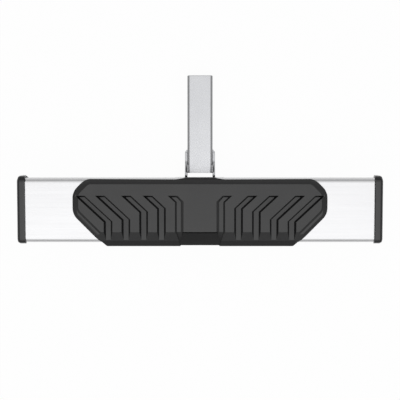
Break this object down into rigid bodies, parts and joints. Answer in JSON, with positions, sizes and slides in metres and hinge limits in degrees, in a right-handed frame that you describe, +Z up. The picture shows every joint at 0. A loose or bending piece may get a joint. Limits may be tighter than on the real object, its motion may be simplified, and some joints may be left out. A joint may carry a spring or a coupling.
{
  "type": "hitch receiver step",
  "caption": "Wide flat stainless step with a channelled tread pad and end caps, bolted to a welded bracket whose square drawbar slides into a hitch receiver.",
  "frame": {"origin": "centre of the hitch pin hole, in the middle of the drawbar", "axes": "+X across the vehicle along the step, +Y forward into the receiver along the drawbar, +Z up out of the tread"},
  "size_m": [0.7112, 0.3366, 0.1322],
  "materials": {
    "stainless": "brushed stainless, satin bright",
    "tread_black": "fine grained moulded black",
    "cap_black": "satin moulded black",
    "bracket_silver": "satin silver plated steel",
    "zinc": "zinc plated"
  },
  "bodies": {
    "root": {"step_tube": "stainless", "step_pad": "tread_black", "end_cap_left": "cap_black", "end_cap_right": "cap_black", "drawbar": "bracket_silver", "side_plate_left": "bracket_silver", "side_plate_right": "bracket_silver", "base_plate": "bracket_silver", "drawbar_weld_left": "bracket_silver", "drawbar_weld_right": "bracket_silver", "base_weld_left": "bracket_silver", "base_weld_right": "bracket_silver", "nut_plate_front": "zinc", "nut_plate_rear": "zinc", "weld_nuts": "zinc", "mount_bolts": "zinc", "lock_washers": "zinc", "flat_washers": "zinc"}
  },
  "joints": []
}
